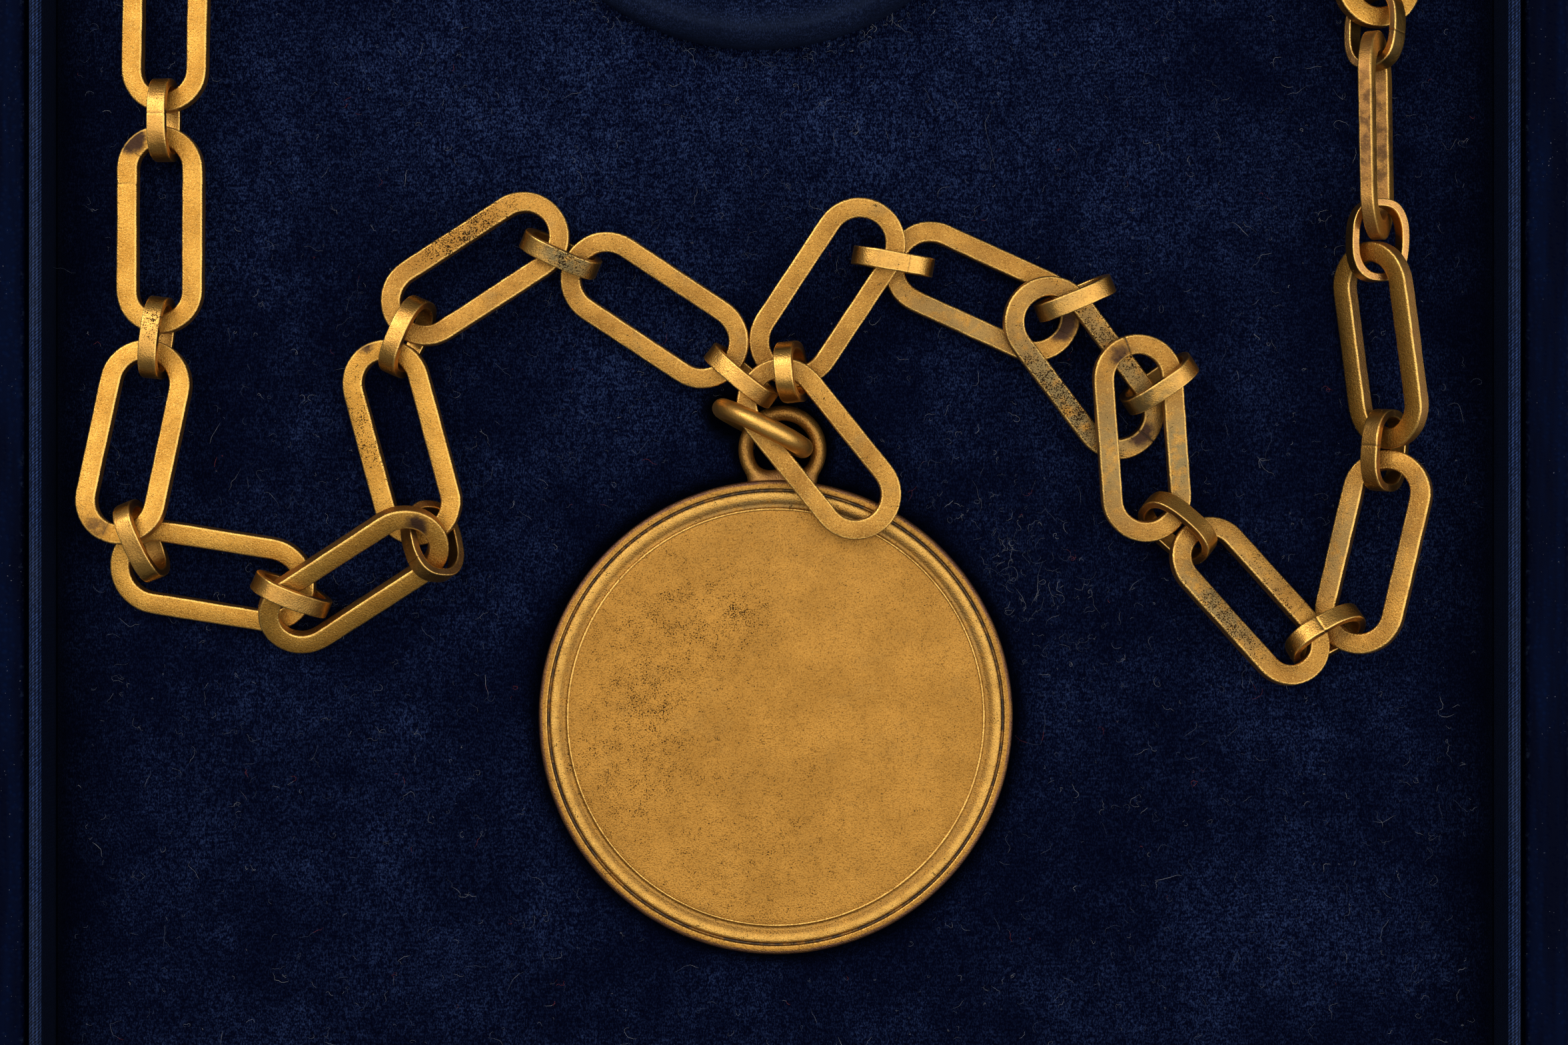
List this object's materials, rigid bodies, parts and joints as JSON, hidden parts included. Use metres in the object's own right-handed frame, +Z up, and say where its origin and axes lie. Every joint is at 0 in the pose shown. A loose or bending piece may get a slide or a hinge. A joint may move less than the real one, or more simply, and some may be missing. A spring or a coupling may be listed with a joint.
{
  "type": "commemorative medallion and chain in presentation case",
  "caption": "Round gilt medal with a moulded rim, soldered eye and jump ring, on a chain of long oval links, lying in an open velvet-lined presentation case.",
  "frame": {"origin": "centre of the underside of the case", "axes": "+Z up out of the open case; +Y along its length, towards the raised disc that the chain goes round; +X to the right seen from above"},
  "size_m": [0.203, 0.267, 0.0316],
  "materials": {
    "case_leatherette": "dark navy leatherette, satin",
    "case_silk": "ribbed navy silk, soft sheen",
    "case_velvet": "worn navy velvet",
    "medal_gilt": "sandblasted gilt with pits and tarnish",
    "chain_gilt": "matte gilt, worn on the edges"
  },
  "bodies": {
    "root": {"case_tray": "case_leatherette", "case_lip": "case_silk", "velvet_pad": "case_velvet", "velvet_roundel": "case_velvet", "medal": "medal_gilt", "jump_ring": "chain_gilt", "long_link_01": "chain_gilt", "long_link_02": "chain_gilt", "long_link_03": "chain_gilt", "long_link_04": "chain_gilt", "long_link_05": "chain_gilt", "long_link_06": "chain_gilt", "long_link_07": "chain_gilt", "long_link_08": "chain_gilt", "long_link_09": "chain_gilt", "long_link_10": "chain_gilt", "long_link_11": "chain_gilt", "long_link_12": "chain_gilt", "long_link_13": "chain_gilt", "long_link_14": "chain_gilt", "long_link_15": "chain_gilt", "long_link_16": "chain_gilt", "long_link_17": "chain_gilt", "long_link_18": "chain_gilt", "connector_01": "chain_gilt", "connector_02": "chain_gilt", "connector_03": "chain_gilt", "connector_04": "chain_gilt", "connector_05": "chain_gilt", "connector_06": "chain_gilt", "connector_07": "chain_gilt", "connector_08": "chain_gilt", "connector_09": "chain_gilt", "connector_10": "chain_gilt", "connector_11": "chain_gilt", "connector_12": "chain_gilt", "connector_13": "chain_gilt", "connector_14": "chain_gilt", "connector_15": "chain_gilt", "connector_16": "chain_gilt", "connector_17": "chain_gilt", "chain_back_1": "chain_gilt", "chain_back_2": "chain_gilt", "chain_back_3": "chain_gilt", "chain_back_4": "chain_gilt", "chain_back_5": "chain_gilt", "chain_back_6": "chain_gilt", "chain_back_7": "chain_gilt", "chain_back_8": "chain_gilt"}
  },
  "joints": []
}
